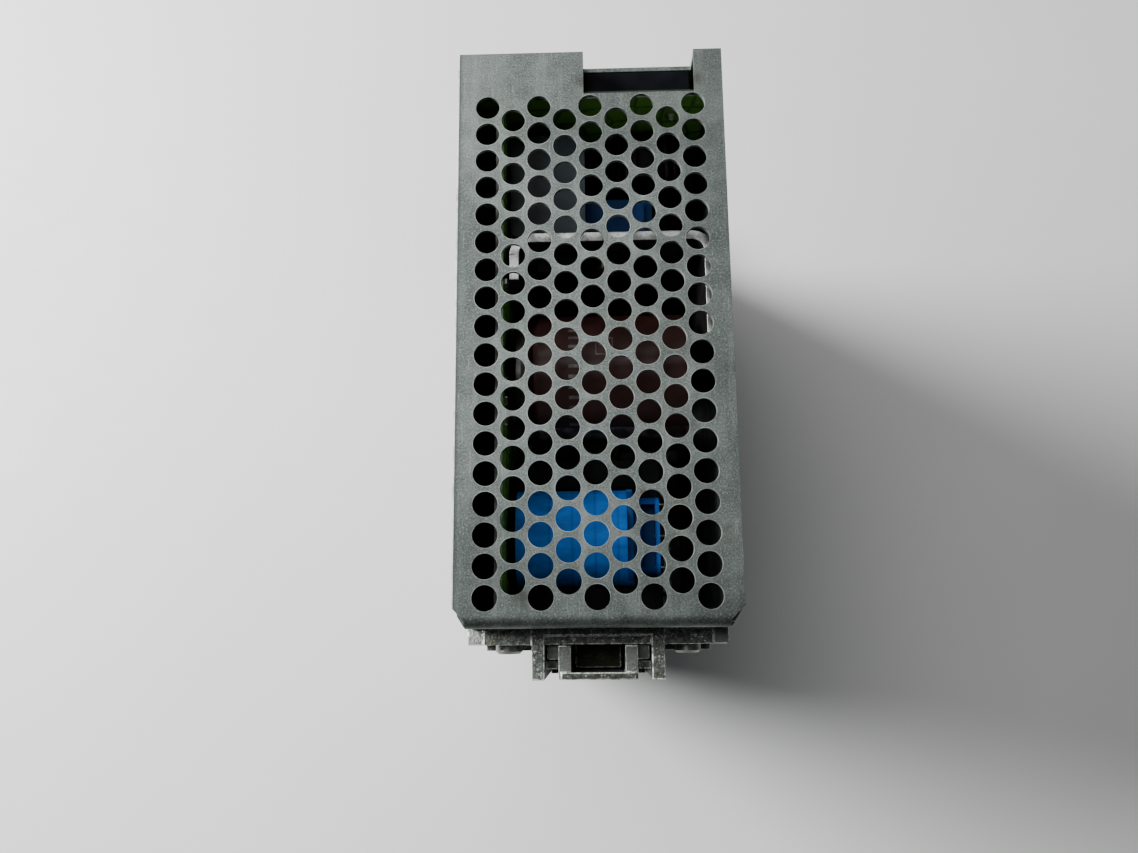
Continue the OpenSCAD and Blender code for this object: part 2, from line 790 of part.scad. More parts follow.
// Flat power transistors on the rear of the bracket, their leads running to the main board.
module power_transistors() {
  body_x = transistor_x - 15.4;
  tab = web_back - 1.3;
  for (z = transistor_zs) {
    color("#202020") difference() {
      block([body_x, transistor_x + 3.4], [web_back - 4.4, web_back], [z - 5, z + 5]);
      rod_y(3.3, transistor_x, [web_back - 5, web_back + 1], z);
      block([transistor_x - 6, transistor_x + 4], [web_back - 5, tab], [z - 6, z + 6]);
    }
    color("silver") for (k = [-1:1])
      block([face_x, body_x + eps], [web_back - 3, web_back - 2.4],
            [z + k * lead_pitch - 0.4, z + k * lead_pitch + 0.4]);
  }
}

module transistor_screws() {
  color("silver") for (z = transistor_zs)
    translate([transistor_x, rear + web_back - 1.3, z]) rotate([90, 0, 0]) pan_screw(5);
}

module bridge_rectifier() {
  color("#1c1c1c") translate([face_x + 3, rear + 76, 40]) linear_extrude(height = 18)
    soft_square(18, 4.5, 0.8, [true, true, true, true]);
  color("silver") for (k = [0:3])
    block([face_x, face_x + 3 + eps], [77.9, 78.6], [42 + k * 4.6, 42.9 + k * 4.6]);
}

// ---- Transformer ----

module transformer_core_solid(gap) {
  yoke = 5;
  high = [trafo_z - core_z - gap, trafo_z + core_z + gap];
  for (side = [-1, 1]) {
    outer = side * trafo_half;
    inner = side * (trafo_half - leg_t);
    block([core_x[0] - gap, core_x[1] + gap],
          [trafo_y + min(outer, inner) - gap, trafo_y + max(outer, inner) + gap], high);
  }
  for (x = [core_x[0], core_x[1] - yoke])
    block([x - gap, x + yoke + gap], [trafo_y - trafo_half - gap, trafo_y + trafo_half + gap], high);
  rod_x(10 + 2 * gap, [core_x[0] + 1, core_x[1] - 1], trafo_y, trafo_z);
}

module transformer_core() {
  color("#151515") transformer_core_solid(0);
}

module taped_coil(x, half_y, half_z, r) {
  translate([x[0], rear + trafo_y - half_y, trafo_z - half_z]) rotate([90, 0, 90])
    linear_extrude(height = x[1] - x[0]) soft_square(2 * half_y, 2 * half_z, r, [true, true, true, true]);
}

module transformer_winding() {
  color("dodgerblue") difference() {
    taped_coil([face_x + 1.9, 6.4], 10.2, 13, 9);
    transformer_core_solid(0.2);
  }
}

// The coil former's end with its flange and the tape round the lead-out space.
module transformer_bobbin() {
  color("navy") difference() {
    union() {
      taped_coil([6.45, 7.7], 10.2, 12, 6);
      taped_coil([7.6, 13.3], 8.2, 10, 3);
    }
    // The shallow chambers where the leads come out
    for (side = [-1, 1])
      translate([10.9, rear + trafo_y, trafo_z + side * 13.5]) cube([2.9, 13.2, 14], center = true);
    transformer_core_solid(0.2);
  }
}

// ---- Output side ----

module output_choke_core() {
  color("goldenrod") ring_x(30, 13, [face_x + 2.4, face_x + 14.4], choke_at[0], choke_at[1]);
}

module output_choke_winding() {
  count = 22;
  color("#b5651d") for (i = [0:count - 1])
    translate([face_x + 8.4, rear + choke_at[0], choke_at[1]]) rotate([i * 330 / count, 0, 0])
      translate([0, 10.75, 0]) difference() {
        cube([14.6, 11.1, 1.2], center = true);
        cube([12.4, 8.9, 2], center = true);
      }
}

module output_capacitors() {
  low = face_x + 0.2;
  high = face_x + 25.2;
  r = 6.4;
  for (y = output_capacitor_ys) color("#1d2a4a")
    translate([0, rear + y, output_capacitor_z]) rotate([0, 90, 0]) rotate_extrude()
      polygon([[0, low], [r - 0.6, low], [r, low + 0.8], [r, low + 2], [r - 0.5, low + 2.6],
               [r, low + 3.2], [r, high - 0.6], [r - 0.6, high], [0, high]]);
}

module rectifier_heat_sink() {
  color("lightgray") {
    block([face_x + 0.5, right - 4], [50, 52], [34, 58]);
    for (z = [34, 42, 50]) block([face_x + 4, right - 4], [52 - eps, 58], [z, z + 1.6]);
  }
}

module output_rectifier() {
  color("#202020") block([-8, 2], [45.4, 50], [41, 51]);
  color("silver") {
    block([1.5, 8], [48.6, 50], [41, 51]);
    for (k = [-1:1])
      block([face_x, -8 + eps], [47, 47.6], [45.6 + k * lead_pitch, 46.4 + k * lead_pitch]);
  }
}

module control_board() {
  color("darkgreen") block([face_x, 6], [30, 68], [70, 71.2]);
}

module control_chips() {
  color("#202020") {
    block([-12, -6], [34, 44], [71.2, 72.8]);
    block([-12, -8], [50, 55], [71.2, 72.7]);
    block([-3, 3], [48, 60], [71.2, 73]);
  }
}

module optocouplers() {
  color("#f0f0e0") for (z = [54, 62]) block([face_x, face_x + 3.6], [84, 90.5], [z, z + 4.6]);
}

main_shell();
input_end_plate();
output_end_plate();
side_cover();
front_panel();
front_label();
cover_screws();
adapter_body();
latch_slider();
latch_spring();
adapter_screws();
weld_nuts();
insulation_sheet();
board_standoffs();
main_board();
front_board();
board_link();
board_screws();
input_header();
input_pins();
output_header();
output_pins();
output_plug();
plug_contacts();
clamp_screw_1();
clamp_screw_2();
clamp_screw_3();
clamp_screw_4();
clamp_cage_1();
clamp_cage_2();
clamp_cage_3();
clamp_cage_4();
trimmer_case();
trimmer_rotor();
status_leds();
bulk_capacitor();
bulk_capacitor_disc();
suppression_capacitor();
inrush_relay();
filter_choke_core();
filter_choke_winding();
mains_fuse();
fuse_clips();
surge_varistor();
heat_sink_bracket();
power_transistors();
transistor_screws();
bridge_rectifier();
transformer_core();
transformer_winding();
transformer_bobbin();
output_choke_core();
output_choke_winding();
output_capacitors();
rectifier_heat_sink();
output_rectifier();
control_board();
control_chips();
optocouplers();
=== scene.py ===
"""Looks of a DIN rail power supply: its sheet metal, its cast rail adapter and the parts behind the holes."""
import json
import math
import random

import bmesh
import bpy
from mathutils import Matrix, Vector


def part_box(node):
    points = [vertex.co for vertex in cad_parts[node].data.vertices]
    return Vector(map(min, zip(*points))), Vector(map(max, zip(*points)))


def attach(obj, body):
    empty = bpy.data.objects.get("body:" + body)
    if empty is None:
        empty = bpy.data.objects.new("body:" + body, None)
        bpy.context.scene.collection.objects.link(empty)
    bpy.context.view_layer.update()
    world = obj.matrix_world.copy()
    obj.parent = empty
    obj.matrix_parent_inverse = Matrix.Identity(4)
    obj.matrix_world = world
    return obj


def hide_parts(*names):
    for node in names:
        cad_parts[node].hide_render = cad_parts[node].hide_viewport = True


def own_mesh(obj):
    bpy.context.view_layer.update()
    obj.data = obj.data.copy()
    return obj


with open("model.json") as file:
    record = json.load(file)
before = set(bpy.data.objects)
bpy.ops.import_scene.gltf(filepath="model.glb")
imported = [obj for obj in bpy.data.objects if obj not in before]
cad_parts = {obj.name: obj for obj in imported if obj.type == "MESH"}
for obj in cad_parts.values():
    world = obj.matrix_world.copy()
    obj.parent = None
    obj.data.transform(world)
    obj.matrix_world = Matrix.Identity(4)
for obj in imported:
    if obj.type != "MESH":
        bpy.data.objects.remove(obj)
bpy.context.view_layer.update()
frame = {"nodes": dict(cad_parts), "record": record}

MM = 0.001
random.seed(7)

NODES = frame["nodes"]
HOUSING = "housing"


# ---------------------------------------------------------------- frame

def box(node):
    """A CAD node's lowest and highest corners, in metres."""
    low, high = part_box(node)
    return Vector(low), Vector(high)


def centre(node):
    low, high = box(node)
    return (low + high) / 2


SHELL_LOW, SHELL_HIGH = box("main_shell")
BOARD_LOW, BOARD_HIGH = box("main_board")
FRONT_LOW, FRONT_HIGH = box("front_board")


# ---------------------------------------------------------------- materials

class Maker:
    """Builds one node material: every method adds nodes and returns an output socket."""

    def __init__(self, name):
        self.material = bpy.data.materials.new(name)
        self.material.use_nodes = True
        self.tree = self.material.node_tree
        self.shader = self.tree.nodes["Principled BSDF"]
        self.coords = self.tree.nodes.new("ShaderNodeTexCoord").outputs["Object"]

    def node(self, kind, **values):
        made = self.tree.nodes.new(kind)
        for key, value in values.items():
            setattr(made, key, value)
        return made

    def link(self, source, target):
        self.tree.links.new(source, target)

    def noise(self, scale, detail=3.0, roughness=0.55, coords=None, distortion=0.0):
        made = self.node("ShaderNodeTexNoise")
        made.inputs["Scale"].default_value = scale
        made.inputs["Detail"].default_value = detail
        made.inputs["Roughness"].default_value = roughness
        made.inputs["Distortion"].default_value = distortion
        self.link(coords or self.coords, made.inputs["Vector"])
        return made.outputs["Fac"]

    def cells(self, scale, feature="F1"):
        made = self.node("ShaderNodeTexVoronoi", feature=feature)
        made.inputs["Scale"].default_value = scale
        self.link(self.coords, made.inputs["Vector"])
        return made

    def stretched(self, scale, offset=(0, 0, 0)):
        made = self.node("ShaderNodeMapping")
        made.inputs["Scale"].default_value = scale
        made.inputs["Location"].default_value = offset
        self.link(self.coords, made.inputs["Vector"])
        return made.outputs["Vector"]

    def ramp(self, source, stops):
        made = self.node("ShaderNodeValToRGB")
        elements = made.color_ramp.elements
        while len(elements) < len(stops):
            elements.new(0.5)
        for element, (position, colour) in zip(elements, stops):
            element.position = position
            element.color = colour if len(colour) == 4 else (*colour, 1)
        self.link(source, made.inputs["Fac"])
        return made.outputs["Color"]

    def between(self, source, low, high, out_low, out_high):
        made = self.node("ShaderNodeMapRange", clamp=True)
        for name, value in (("From Min", low), ("From Max", high), ("To Min", out_low), ("To Max", out_high)):
            made.inputs[name].default_value = value
        self.link(source, made.inputs["Value"])
        return made.outputs["Result"]

    def math(self, operation, first, second=None):
        made = self.node("ShaderNodeMath", operation=operation)
        for slot, value in zip(made.inputs, (first, second)):
            if isinstance(value, (int, float)):
                slot.default_value = value
            elif value is not None:
                self.link(value, slot)
        return made.outputs["Value"]

    def mix(self, factor, first, second, blend="MIX"):
        made = self.node("ShaderNodeMix", data_type="RGBA", blend_type=blend)
        for slot, value in zip((made.inputs[0], made.inputs[6], made.inputs[7]), (factor, first, second)):
            if isinstance(value, (int, float)):
                slot.default_value = value
            elif isinstance(value, tuple):
                slot.default_value = (*value[:3], 1)
            else:
                self.link(value, slot)
        return made.outputs[2]

    def axis(self, letter, coords=None):
        made = self.node("ShaderNodeSeparateXYZ")
        self.link(coords or self.coords, made.inputs[0])
        return made.outputs[letter]

    def bump(self, height, strength, distance=0.0002):
        made = self.node("ShaderNodeBump")
        made.inputs["Strength"].default_value = strength
        made.inputs["Distance"].default_value = distance
        self.link(height, made.inputs["Height"])
        self.link(made.outputs["Normal"], self.shader.inputs["Normal"])

    def colour(self, socket):
        self.link(socket, self.shader.inputs["Base Color"])

    def rough(self, socket):
        self.link(socket, self.shader.inputs["Roughness"])

    def fixed(self, **values):
        for key, value in values.items():
            self.shader.inputs[key.replace("_", " ")].default_value = value


def hole_distance(m):
    """Distance to the centre of the nearest hole of the staggered perforation, and where that lattice ends."""
    pitch_x, pitch_y = 5.4 * MM, 6.0 * MM
    grid_y = SHELL_LOW.y + 56.8 * MM
    x = m.axis("X")
    y = m.math("SUBTRACT", m.axis("Y"), grid_y)
    column = m.math("ROUND", m.math("DIVIDE", x, pitch_x))
    odd = m.math("ABSOLUTE", m.math("MODULO", column, 2.0))
    across = m.math("SUBTRACT", x, m.math("MULTIPLY", column, pitch_x))
    row = m.math("ADD", m.math("DIVIDE", y, pitch_y), m.math("MULTIPLY", m.math("SUBTRACT", 1.0, odd), 0.5))
    along = m.math("MULTIPLY", m.math("SUBTRACT", row, m.math("ROUND", row)), pitch_y)
    distance = m.math("SQRT", m.math("ADD", m.math("MULTIPLY", across, across), m.math("MULTIPLY", along, along)))
    reach = m.math("SUBTRACT", 54 * MM, m.math("MULTIPLY", odd, 3 * MM))
    inside = m.math("MULTIPLY", m.math("LESS_THAN", m.math("ABSOLUTE", y), reach),
                    m.math("LESS_THAN", m.math("ABSOLUTE", x), 24.3 * MM))
    return distance, inside


def spot(m, x, y, radius, fade):
    """A soft round patch on the input end plate, from 1 at its centre to 0."""
    dx = m.math("SUBTRACT", m.axis("X"), x)
    dy = m.math("SUBTRACT", m.axis("Y"), y)
    r = m.math("SQRT", m.math("ADD", m.math("MULTIPLY", dx, dx), m.math("MULTIPLY", dy, dy)))
    return m.between(r, radius, radius + fade, 1.0, 0.0)


def plate_shade(m):
    """How much painted shade darkens the end plate towards its sides, its rear bend and its front corners, as a
    factor that is above 1 elsewhere and so paints light there.
    """
    u = m.math("SUBTRACT", m.axis("Y"), SHELL_LOW.y)
    side = m.between(m.math("ABSOLUTE", m.axis("X")), 14 * MM, 27 * MM, 0.0, 0.14)
    rear = m.between(u, 2 * MM, 30 * MM, 0.22, 0.0)
    bend = m.between(u, 0.4 * MM, 2.2 * MM, 0.25, 0.0)
    front = m.math("MULTIPLY", m.between(u, 78 * MM, 118 * MM, 0.0, 1.0), m.between(m.axis("X"), -20 * MM, 26 * MM, 0.10, 0.30))
    dull = m.math("ADD", m.math("ADD", side, rear), m.math("ADD", bend, front))
    return m.math("SUBTRACT", 1.17, dull)


def galvanised(name, tone=1.0, perforated=False):
    """Zinc-coated, blasted sheet: cloudy grey with fine grain and a few dirt specks. On the perforated plate,
    painted highlights brighten the hole rims and a line along one side edge, and painted shade darkens its sides,
    rear and front corners and a strip beside that edge.
    """
    m = Maker(name)
    grain = m.noise(3600, 3, 0.7)
    speckle = m.noise(2300, 3, 0.65)
    cloud = m.math("ADD", m.math("MULTIPLY", m.noise(30, 4, 0.6), 0.65), m.math("MULTIPLY", m.noise(230, 4, 0.65), 0.35))
    clouds = m.ramp(cloud, [(0.38, tuple(tone * c for c in (0.078, 0.092, 0.088))),
                            (0.50, tuple(tone * c for c in (0.128, 0.148, 0.141))),
                            (0.62, tuple(tone * c for c in (0.205, 0.232, 0.221)))])
    spotted = m.mix(m.between(speckle, 0.50, 0.72, 0.0, 0.48), clouds, tuple(tone * c for c in (0.42, 0.45, 0.44)))
    grained = m.mix(m.between(grain, 0.34, 0.54, 0.80, 0.0), spotted, tuple(tone * c for c in (0.034, 0.040, 0.038)))
    streaks = m.noise(60, 4, 0.6, m.stretched((5, 0.5, 5)))
    streaked = m.mix(m.between(streaks, 0.50, 0.72, 0.0, 0.28), grained, tuple(tone * c for c in (0.30, 0.33, 0.32)))
    scratches = m.noise(210, 2, 0.5, m.stretched((9, 0.7, 9)))
    scored = m.mix(m.between(scratches, 0.66, 0.73, 0.0, 0.22), streaked, (0.40, 0.42, 0.41))
    dirt = m.between(m.noise(430, 3, 0.6), 0.56, 0.68, 0.0, 0.85)
    place = m.between(m.noise(38, 2, 0.5), 0.60, 0.70, 0.0, 0.5)
    if perforated:
        near = SHELL_LOW.y
        for x, y, radius in ((3.5, 27.5, 3.0), (-6.5, 12.5, 3.4), (9.0, 24.0, 5.0), (14.5, 27.0, 4.2), (17.0, 18.0, 3.2)):
            place = m.math("MAXIMUM", place, spot(m, x * MM, near + y * MM, radius * MM * 0.35, radius * MM))
    dirt_and_painted_light = m.mix(m.math("MULTIPLY", dirt, place), scored, (0.085, 0.055, 0.030))
    if perforated:
        smudge = m.math("MULTIPLY", spot(m, -14.5 * MM, SHELL_LOW.y + 6.0 * MM, 0.6 * MM, 2.2 * MM), 0.7)
        dirt_and_painted_light = m.mix(smudge, dirt_and_painted_light, (0.035, 0.035, 0.032))
        for x in (-1.8, 22.6):
            stain = m.math("MULTIPLY", spot(m, x * MM, near + 113.6 * MM, 0.3 * MM, 1.7 * MM), 0.5)
            dirt_and_painted_light = m.mix(stain, dirt_and_painted_light, (0.040, 0.026, 0.014))
        distance, inside = hole_distance(m)
        # painted highlight round the rim of each hole, broken up by noise
        rim = m.between(distance, 2.50 * MM, 2.62 * MM, 1.0, 0.0)
        wear_and_highlight = m.math("MULTIPLY", rim, m.between(m.noise(260, 3, 0.6), 0.38, 0.62, 0.05, 0.9))
        dirt_and_painted_light = m.mix(m.math("MULTIPLY", wear_and_highlight, inside), dirt_and_painted_light, (0.50, 0.53, 0.51))
        # painted light and shade over the whole plate, multiplied into its colour
        dirt_and_painted_light = m.mix(1.0, dirt_and_painted_light, plate_shade(m), "MULTIPLY")
        # painted shadow in a strip just inside the plate's side edge at low X, and a painted highlight line along
        # that edge, broken up by noise
        highlight_breakup = m.between(m.noise(300, 2), 0.30, 0.55, 0.45, 1.0)
        shadow = m.between(m.axis("X"), SHELL_LOW.x + 0.45 * MM, SHELL_LOW.x + 1.1 * MM, 0.62, 0.0)
        dirt_and_painted_light = m.mix(shadow, dirt_and_painted_light, (0.045, 0.050, 0.048))
        edge = m.between(m.axis("X"), SHELL_LOW.x + 0.24 * MM, SHELL_LOW.x + 0.36 * MM, 1.0, 0.0)
        dirt_and_painted_light = m.mix(m.math("MULTIPLY", edge, highlight_breakup), dirt_and_painted_light, (0.90, 0.93, 0.91))
    m.colour(dirt_and_painted_light)
    m.rough(m.between(m.noise(160, 3, 0.6), 0.3, 0.7, 0.40, 0.60))
    m.bump(m.math("ADD", grain, m.noise(3400, 2, 0.6)), 0.5, 0.00007)
    m.fixed(Metallic=0.70)
    return m.material


def cast_metal(name, tone=1.0, latch=False):
    """Grit-blasted die casting: dark grey with a coarse bright sparkle and brown stains, smoother at its ends.

    The inside of the channel behind the release slot is painted a dark olive as painted shade.
    """
    m = Maker(name)
    grit = m.cells(2000)
    sparkle = m.between(grit.outputs["Distance"], 0.05, 0.46, 1.0, 0.0)
    stain = m.between(m.noise(110, 4, 0.6), 0.50, 0.66, 0.0, 0.7)
    sides = m.between(m.math("ABSOLUTE", m.axis("X")), 22.7 * MM, 23.1 * MM, 0.0, 1.0)
    legs = m.between(m.axis("Y"), SHELL_LOW.y - 8.9 * MM, SHELL_LOW.y - 8.5 * MM, 0.0, 1.0)
    ends = legs if latch else sides
    # painted light: lightened by up to a quarter towards low X
    painted_light_on_left = m.between(m.axis("X"), -6 * MM, -16 * MM, 1.0, 1.25)
    tones = m.ramp(m.noise(1300, 4, 0.7), [(0.34, tuple(tone * c for c in (0.042, 0.047, 0.043))),
                                           (0.55, tuple(tone * c for c in (0.135, 0.145, 0.134))),
                                           (0.75, tuple(tone * c for c in (0.34, 0.355, 0.33)))])
    smooth = m.mix(m.math("MULTIPLY", ends, 0.8), tones, tuple(tone * c for c in (0.24, 0.255, 0.24)))
    bright = m.math("MULTIPLY", sparkle, m.between(m.noise(700, 2, 0.5), 0.50, 0.62, 0.0, 1.0))
    lit = m.mix(m.math("MULTIPLY", bright, m.math("SUBTRACT", 1.0, m.math("MULTIPLY", ends, 0.9))), smooth,
                tuple(min(0.85, tone * c) for c in (0.76, 0.78, 0.74)))
    stained = m.mix(m.math("MULTIPLY", stain, m.math("SUBTRACT", 1.0, m.math("MULTIPLY", ends, 0.6))), lit,
                    tuple(tone * c for c in (0.078, 0.066, 0.040)))
    # painted shade: dark olive inside the channel behind the release slot
    middle = m.between(m.math("ABSOLUTE", m.axis("X")), 5.2 * MM, 5.5 * MM, 1.0, 0.0)
    behind = m.between(m.axis("Y"), SHELL_LOW.y - 8.7 * MM, SHELL_LOW.y - 8.5 * MM, 0.0, 1.0)
    below = m.math("MULTIPLY", m.between(m.axis("Z"), 112 * MM, 117 * MM, 1.0, 0.0),
                   m.between(m.axis("Z"), 88 * MM, 90 * MM, 0.0, 1.0))
    before = m.between(m.axis("Y"), SHELL_LOW.y - 3.4 * MM, SHELL_LOW.y - 3.2 * MM, 1.0, 0.0)
    painted_slot_shade = m.math("MULTIPLY", m.math("MULTIPLY", middle, behind), m.math("MULTIPLY", below, before))
    m.colour(m.mix(m.math("MULTIPLY", painted_slot_shade, 0.92), m.mix(1.0, stained, painted_light_on_left, "MULTIPLY"), (0.024, 0.026, 0.013)))
    m.rough(m.between(m.noise(420, 3, 0.6), 0.3, 0.7, 0.38, 0.66))
    m.bump(m.math("ADD", m.noise(1500, 4, 0.75), m.math("MULTIPLY", grit.outputs["Distance"], 0.6)), 0.55, 0.00018)
    m.fixed(Metallic=0.75)
    return m.material


def plain_metal(name, colour, rough_low, rough_high, grain=(1, 1, 1), scale=400, bump=0.15):
    """Bright metal whose finish is stretched along the rolling or turning direction."""
    m = Maker(name)
    lines = m.noise(scale, 3, 0.6, m.stretched(grain))
    darker = tuple(c * 0.72 for c in colour)
    m.colour(m.ramp(lines, [(0.3, darker), (0.7, colour)]))
    m.rough(m.between(lines, 0.3, 0.7, rough_low, rough_high))
    m.bump(lines, bump, 0.00004)
    m.fixed(Metallic=1.0)
    return m.material


def moulded(name, colour, rough=0.4, vary=0.25, texture=1400, coat=0.0, specular=0.5):
    """Moulded plastic: an even colour with slight clouds, and the fine texture of the tool."""
    m = Maker(name)
    lighter = tuple(min(1.0, c * (1 + vary) + 0.004) for c in colour)
    darker = tuple(c * (1 - vary) for c in colour)
    m.colour(m.ramp(m.noise(130, 3, 0.5), [(0.35, darker), (0.68, lighter)]))
    m.rough(m.between(m.noise(300, 2, 0.5), 0.3, 0.7, rough * 0.85, min(1.0, rough * 1.2)))
    m.bump(m.noise(texture, 2, 0.5), 0.12, 0.00008)
    m.fixed(Coat_Weight=coat, Coat_Roughness=0.15, Specular_IOR_Level=specular)
    return m.material


def circuit_board(name, axis):
    """Solder mask over copper with lighter tracks and tinned pads, and a dull green cut edge round the board.
    Painted light and shade then scale it by position, and on the front and control boards the cut edge is painted
    near black as shade.
    """
    m = Maker(name)
    tracks = m.cells(170, "DISTANCE_TO_EDGE")
    tracks.inputs["Randomness"].default_value = 0.35
    copper = m.between(tracks.outputs["Distance"], 0.05, 0.075, 0.0, 1.0)
    mask = m.mix(copper, (0.060, 0.165, 0.026), (0.140, 0.330, 0.045))
    # random darker clouds in the mask colour
    shade = m.mix(m.between(m.noise(60, 3), 0.3, 0.7, 0.0, 0.4), mask, (0.085, 0.220, 0.038))
    dots = m.cells(330)
    pads = m.between(dots.outputs["Distance"], 0.10, 0.13, 1.0, 0.0)
    chance = m.between(m.noise(90, 1), 0.56, 0.58, 0.0, 1.0)
    padded = m.mix(m.math("MULTIPLY", pads, chance), shade, (0.50, 0.51, 0.48))
    normal = m.node("ShaderNodeNewGeometry").outputs["Normal"]
    face = m.math("GREATER_THAN", m.math("ABSOLUTE", m.axis(axis, normal)), 0.7)
    fibre = m.ramp(m.noise(900, 2, 0.5), [(0.3, (0.028, 0.070, 0.014)), (0.7, (0.055, 0.115, 0.024))])
    # painted light and shade: on the main board, shade over the outer part of the cut edge and the outer face, light
    # on the inner face; on the other boards, shade towards low X and light towards high X, and their cut edge
    # painted near black as shade
    if axis == "X":
        shade = m.between(m.axis("X"), BOARD_LOW.x + 0.7 * MM, BOARD_LOW.x + 0.95 * MM, 0.10, 1.6)
    else:
        shade = m.between(m.axis("X"), -15 * MM, 9 * MM, 0.35, 1.45)
        fibre = m.mix(0.9, fibre, (0.004, 0.005, 0.003))
    m.colour(m.mix(1.0, m.mix(face, fibre, padded), shade, "MULTIPLY"))
    m.rough(m.between(copper, 0.0, 1.0, 0.42, 0.30))
    m.bump(copper, 0.4, 0.00008)
    return m.material


def capacitor_sleeve():
    """Dark brown-red shrink sleeve with a plain pale stripe and its row of short dashes."""
    m = Maker("capacitor_sleeve")
    low, high = box("bulk_capacitor")
    middle = (low + high) / 2
    local = m.node("ShaderNodeMapping")
    local.inputs["Location"].default_value = tuple(-c for c in middle)
    m.link(m.coords, local.inputs["Vector"])
    along = m.axis("X", local.outputs["Vector"])
    angle = m.math("ARCTAN2", m.axis("Z", local.outputs["Vector"]), m.axis("Y", local.outputs["Vector"]))
    def within(value, middle, half):
        return m.math("LESS_THAN", m.math("ABSOLUTE", m.math("SUBTRACT", value, middle)), half)

    def both(first, second):
        return m.math("MULTIPLY", first, second)

    # a worn stripe low on the rear side, and a column of plain bars round the top
    stripe = both(within(angle, 2.75, 0.16), m.between(m.noise(400, 3), 0.40, 0.60, 0.2, 0.9))
    strokes = m.math("LESS_THAN", m.math("FRACT", m.math("MULTIPLY", angle, 6.4)), 0.34)
    column = both(both(within(along, -0.0058, 0.0012), within(angle, 1.75, 0.85)), strokes)
    frame_out = both(within(along, 0.0004, 0.0018), within(angle, 1.27, 0.15))
    frame_in = both(within(along, 0.0004, 0.0016), within(angle, 1.27, 0.132))
    outline = m.math("SUBTRACT", frame_out, frame_in)
    base = m.ramp(m.noise(120, 3), [(0.35, (0.018, 0.0062, 0.0056)), (0.7, (0.032, 0.0105, 0.0092))])
    striped = m.mix(stripe, base, (0.12, 0.105, 0.10))
    printed = m.math("MAXIMUM", column, outline)
    sleeve = m.mix(both(printed, m.between(m.noise(700, 3), 0.35, 0.6, 0.35, 0.9)), striped, (0.105, 0.098, 0.100))
    # darker over its last few millimetres at the board end
    board_end_darkening = m.between(m.axis("X"), low.x + 1.5 * MM, low.x + 4.0 * MM, 0.12, 1.0)
    m.colour(m.mix(1.0, sleeve, board_end_darkening, "MULTIPLY"))
    m.rough(m.between(m.noise(260, 2), 0.3, 0.7, 0.34, 0.46))
    m.bump(m.noise(240, 3), 0.1, 0.0002)
    m.fixed(Specular_IOR_Level=0.28)
    return m.material


def winding_tape():
    """Bright blue polyester tape: overlapping turns leave faint steps round the coil."""
    m = Maker("winding_tape")
    along = m.axis("X")
    wave = m.math("FRACT", m.math("MULTIPLY", along, 210))
    step = m.between(wave, 0.86, 0.94, 1.0, 0.35)
    wrinkle = m.noise(420, 3, 0.6, m.stretched((0.35, 1, 1)))
    base = m.ramp(wrinkle, [(0.3, (0.002, 0.100, 0.42)), (0.7, (0.004, 0.185, 0.70))])
    m.colour(m.mix(m.between(step, 0.35, 1.0, 0.35, 0.0), base, (0.002, 0.045, 0.23)))
    m.rough(m.between(wrinkle, 0.3, 0.7, 0.52, 0.66))
    m.bump(m.math("ADD", step, m.math("MULTIPLY", wrinkle, 0.4)), 0.35, 0.00012)
    m.fixed(Specular_IOR_Level=0.15)
    return m.material


def label_foil():
    """Front foil without any text: a plain grey field, a darker band and a fine border."""
    m = Maker("label_foil")
    low, high = box("front_label")
    x = m.between(m.axis("X"), low.x, high.x, 0.0, 1.0)
    z = m.between(m.axis("Z"), low.z, high.z, 0.0, 1.0)
    band = m.math("MULTIPLY", m.math("GREATER_THAN", z, 0.80), m.math("LESS_THAN", z, 0.93))
    rule = m.math("LESS_THAN", m.math("ABSOLUTE", m.math("SUBTRACT", z, 0.775)), 0.004)
    edge_x = m.math("GREATER_THAN", m.math("ABSOLUTE", m.math("SUBTRACT", x, 0.5)), 0.475)
    edge_z = m.math("GREATER_THAN", m.math("ABSOLUTE", m.math("SUBTRACT", z, 0.5)), 0.486)
    field = m.ramp(m.noise(160, 3), [(0.35, (0.50, 0.52, 0.53)), (0.7, (0.56, 0.58, 0.59))])
    banded = m.mix(m.math("MAXIMUM", band, rule), field, (0.03, 0.11, 0.20))
    m.colour(m.mix(m.math("MAXIMUM", edge_x, edge_z), banded, (0.16, 0.18, 0.20)))
    m.rough(m.between(m.noise(900, 2), 0.3, 0.7, 0.42, 0.55))
    m.bump(m.noise(1800, 2), 0.1, 0.00005)
    return m.material


def copper_wire(name="copper_wire", dark=(0.42, 0.14, 0.05), light=(0.72, 0.30, 0.12)):
    """Enamelled winding wire."""
    m = Maker(name)
    tone = m.noise(500, 2)
    m.colour(m.ramp(tone, [(0.3, dark), (0.7, light)]))
    m.rough(m.between(tone, 0.3, 0.7, 0.22, 0.34))
    m.bump(m.noise(900, 2), 0.08, 0.00005)
    m.fixed(Metallic=0.7, Coat_Weight=0.6, Coat_Roughness=0.1)
    return m.material


def edge_wear_and_highlight(name, dull, bright):
    """An edge with bare patches, lightened as a painted highlight: broken bright flecks over the duller skin."""
    m = Maker(name)
    flecks = m.noise(1100, 3, 0.6)
    m.colour(m.ramp(flecks, [(0.38, dull), (0.58, bright)]))
    m.rough(m.between(flecks, 0.3, 0.7, 0.60, 0.42))
    m.bump(flecks, 0.3, 0.00006)
    m.fixed(Metallic=0.25)
    return m.material


